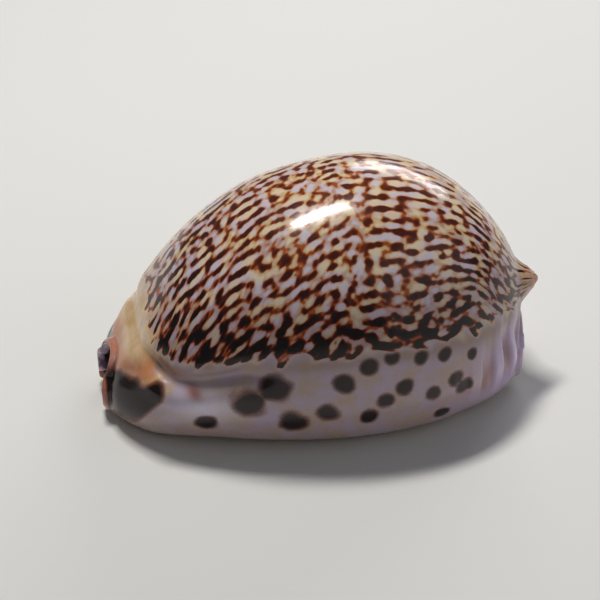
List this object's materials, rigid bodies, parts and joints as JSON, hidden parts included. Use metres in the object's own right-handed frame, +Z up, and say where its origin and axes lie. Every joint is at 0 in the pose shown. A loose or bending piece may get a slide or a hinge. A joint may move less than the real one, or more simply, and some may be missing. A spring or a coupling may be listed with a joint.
{
  "type": "eglantine cowrie shell",
  "caption": "Empty cowrie shell: a glossy domed oval with a flat base, a narrow toothed aperture, a canal at each end and a low spire nub.",
  "frame": {"origin": "on the plane that the shell lies on, under the middle of its bounding box", "axes": "+X to the posterior end with the spire, -Y to the columellar side, +Z up through the dome"},
  "size_m": [0.0602, 0.038, 0.0327],
  "materials": {
    "shell": "enamel-smooth natural shell, pale fawn and lilac under a dark brown network, with dark spots along the margin"
  },
  "bodies": {
    "root": {"shell": "shell"}
  },
  "joints": []
}
